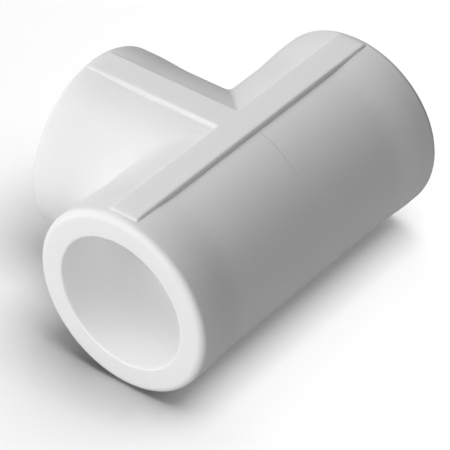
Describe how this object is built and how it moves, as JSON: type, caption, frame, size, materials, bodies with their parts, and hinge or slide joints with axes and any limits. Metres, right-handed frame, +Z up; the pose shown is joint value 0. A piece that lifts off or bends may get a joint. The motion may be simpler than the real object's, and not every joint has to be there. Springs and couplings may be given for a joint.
{
  "type": "tee fitting",
  "caption": "Equal plumbing tee in white moulded plastic, with a heat-fusion pipe socket at each end and a raised T-shaped marking band.",
  "frame": {"origin": "under the middle of the bounding box, on the surface the tee lies on; the three socket axes cross at (0, -7.25, 17.2) mm", "axes": "+X along the run, +Y along the branch towards its mouth, +Z up out of the marking band"},
  "size_m": [0.063, 0.0486, 0.0344],
  "materials": {
    "white_polypropylene": "satin"
  },
  "bodies": {
    "root": {"tee_body": "white_polypropylene"}
  },
  "joints": []
}
